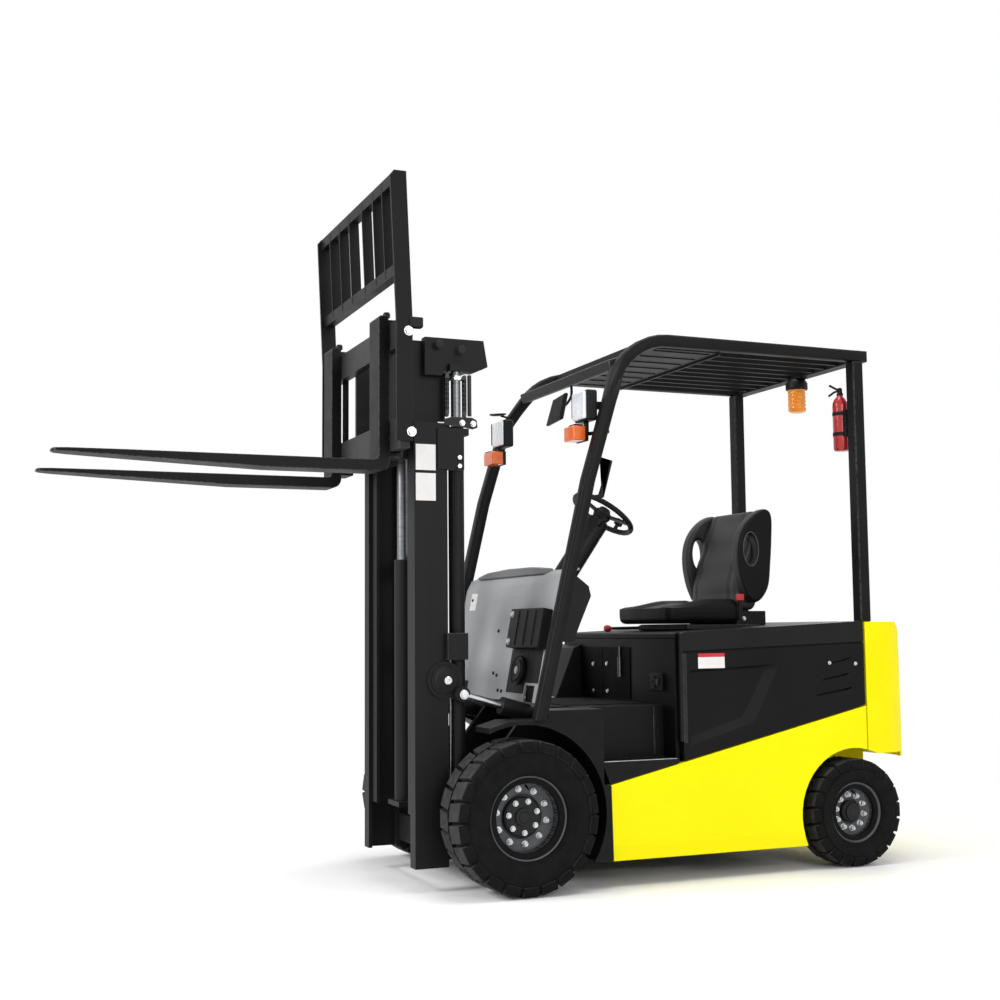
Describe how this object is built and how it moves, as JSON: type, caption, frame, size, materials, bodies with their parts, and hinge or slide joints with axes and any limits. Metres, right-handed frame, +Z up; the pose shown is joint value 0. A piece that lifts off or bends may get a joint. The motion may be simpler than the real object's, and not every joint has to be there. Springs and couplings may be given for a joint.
{
  "type": "counterbalance forklift truck",
  "caption": "Electric counterbalance forklift with raised mast, yellow body, black overhead guard and long forks",
  "frame": {"origin": "on the floor, under the middle of the overall length and width", "axes": "+X forwards to the fork tips, +Y to the left side, +Z up"},
  "size_m": [3.652, 1.239, 2.797],
  "materials": {
    "frame_black": "satin black paint over steel",
    "hood_black": "fine-grained satin black enamel",
    "body_yellow": "gloss yellow enamel",
    "grey_panel": "satin light grey paint",
    "battery_steel": "dark painted battery box",
    "cast_iron": "rough dark casting",
    "fork_steel": "black painted forging, worn at the tip",
    "chrome_rod": "hard chrome piston rod",
    "rim_steel": "dark grey painted pressed steel",
    "tyre_rubber": "solid rubber",
    "floor_rubber": "ribbed rubber mat",
    "black_plastic": "grained moulding",
    "seat_vinyl": "smooth black vinyl",
    "amber_lens": "clear amber lens",
    "red_paint": "gloss red enamel"
  },
  "bodies": {
    "chassis": {"chassis_frame": "frame_black", "floor_plate": "floor_rubber", "left_front_fender": "black_plastic", "right_front_fender": "black_plastic", "left_side_sill": "body_yellow", "right_side_sill": "body_yellow", "counterweight": "body_yellow", "battery_block": "battery_steel", "drive_axle": "cast_iron", "steer_axle": "cast_iron", "front_cowl": "grey_panel", "dashboard": "black_plastic", "left_front_pillar": "frame_black", "right_front_pillar": "frame_black", "left_rear_pillar": "frame_black", "right_rear_pillar": "frame_black", "roof_grille": "frame_black", "guard_front_crossbar": "frame_black", "left_front_lamps": "black_plastic", "right_front_lamps": "black_plastic", "rear_view_mirror": "black_plastic", "beacon": "amber_lens", "fire_extinguisher": "red_paint", "grab_handle": "black_plastic"},
    "hood": {"battery_hood": "hood_black", "seat_base": "cast_iron", "seat_cushion": "seat_vinyl", "seat_backrest": "seat_vinyl"},
    "steering_wheel_body": {"steering_wheel": "black_plastic"},
    "front_left_wheel": {"front_left_tyre": "tyre_rubber", "front_left_rim": "rim_steel"},
    "front_right_wheel": {"front_right_tyre": "tyre_rubber", "front_right_rim": "rim_steel"},
    "left_steering_knuckle": {"rear_left_knuckle": "cast_iron"},
    "right_steering_knuckle": {"rear_right_knuckle": "cast_iron"},
    "rear_left_wheel": {"rear_left_tyre": "tyre_rubber", "rear_left_rim": "rim_steel"},
    "rear_right_wheel": {"rear_right_tyre": "tyre_rubber", "rear_right_rim": "rim_steel"},
    "mast_outer": {"outer_mast": "frame_black", "left_lift_cylinder": "frame_black", "right_lift_cylinder": "frame_black"},
    "mast_inner": {"inner_mast": "frame_black", "left_lift_rod": "chrome_rod", "right_lift_rod": "chrome_rod", "free_lift_cylinder": "frame_black"},
    "free_lift_head": {"free_lift_rod": "chrome_rod"},
    "fork_carriage": {"carriage": "frame_black", "load_backrest": "frame_black", "left_fork": "fork_steel", "right_fork": "fork_steel"},
    "left_tilt_barrel": {"left_tilt_cylinder": "frame_black"},
    "right_tilt_barrel": {"right_tilt_cylinder": "frame_black"},
    "left_tilt_piston": {"left_tilt_rod": "chrome_rod"},
    "right_tilt_piston": {"right_tilt_rod": "chrome_rod"}
  },
  "joints": [
    {"name": "mast_tilt", "type": "hinge", "parent": "chassis", "child": "mast_outer", "pos_m": [0.074, 0, 0.29687], "axis": [0, 1, 0], "range_deg": [-8, 6]},
    {"name": "inner_mast_lift", "type": "slide", "parent": "mast_outer", "child": "mast_inner", "axis": [0, 0, 1], "range_m": [-0.185, 1.1]},
    {"name": "carriage_lift", "type": "slide", "parent": "mast_inner", "child": "fork_carriage", "axis": [0, 0, 1], "range_m": [-1.43, 0.02]},
    {"name": "free_lift_ram", "type": "slide", "parent": "mast_inner", "child": "free_lift_head", "axis": [0, 0, 1], "range_m": [-0.72, 0.015]},
    {"name": "left_tilt_barrel_pivot", "type": "hinge", "parent": "chassis", "child": "left_tilt_barrel", "pos_m": [-0.341, 0.364, 0.59], "axis": [0, 1, 0], "range_deg": [-8, 8]},
    {"name": "right_tilt_barrel_pivot", "type": "hinge", "parent": "chassis", "child": "right_tilt_barrel", "pos_m": [-0.341, -0.364, 0.59], "axis": [0, 1, 0], "range_deg": [-8, 8]},
    {"name": "left_tilt_ram", "type": "slide", "parent": "left_tilt_barrel", "child": "left_tilt_piston", "axis": [0.9607, 0, 0.2777], "range_m": [-0.08, 0.08]},
    {"name": "right_tilt_ram", "type": "slide", "parent": "right_tilt_barrel", "child": "right_tilt_piston", "axis": [0.9607, 0, 0.2777], "range_m": [-0.08, 0.08]},
    {"name": "front_left_wheel_spin", "type": "hinge", "parent": "chassis", "child": "front_left_wheel", "pos_m": [0.074, 0.507, 0.29687], "axis": [0, 1, 0], "continuous": true},
    {"name": "front_right_wheel_spin", "type": "hinge", "parent": "chassis", "child": "front_right_wheel", "pos_m": [0.074, -0.507, 0.29687], "axis": [0, 1, 0], "continuous": true},
    {"name": "left_steer", "type": "hinge", "parent": "chassis", "child": "left_steering_knuckle", "pos_m": [-1.471, 0.392, 0.22713], "axis": [0, 0, 1], "range_deg": [-60, 60]},
    {"name": "right_steer", "type": "hinge", "parent": "chassis", "child": "right_steering_knuckle", "pos_m": [-1.471, -0.392, 0.22713], "axis": [0, 0, 1], "range_deg": [-60, 60]},
    {"name": "rear_left_wheel_spin", "type": "hinge", "parent": "left_steering_knuckle", "child": "rear_left_wheel", "pos_m": [-1.471, 0.487, 0.22713], "axis": [0, 1, 0], "continuous": true},
    {"name": "rear_right_wheel_spin", "type": "hinge", "parent": "right_steering_knuckle", "child": "rear_right_wheel", "pos_m": [-1.471, -0.487, 0.22713], "axis": [0, 1, 0], "continuous": true},
    {"name": "steering_wheel_turn", "type": "hinge", "parent": "chassis", "child": "steering_wheel_body", "pos_m": [-0.564, 0, 1.526], "axis": [-0.5736, 0, 0.8192], "continuous": true},
    {"name": "battery_hood_hinge", "type": "hinge", "parent": "chassis", "child": "hood", "pos_m": [-1.52, 0, 1.026], "axis": [0, -1, 0], "range_deg": [0, 65]}
  ],
  "couplings": [
    {"joint": "right_steer", "follows": "left_steer", "ratio": 1},
    {"joint": "free_lift_ram", "follows": "carriage_lift", "ratio": 0.5},
    {"joint": "left_tilt_barrel_pivot", "follows": "mast_tilt", "ratio": 0.4873},
    {"joint": "right_tilt_barrel_pivot", "follows": "mast_tilt", "ratio": 0.4873},
    {"joint": "left_tilt_ram", "follows": "mast_tilt", "m_per_rad": 0.4006},
    {"joint": "right_tilt_ram", "follows": "mast_tilt", "m_per_rad": 0.4006}
  ]
}
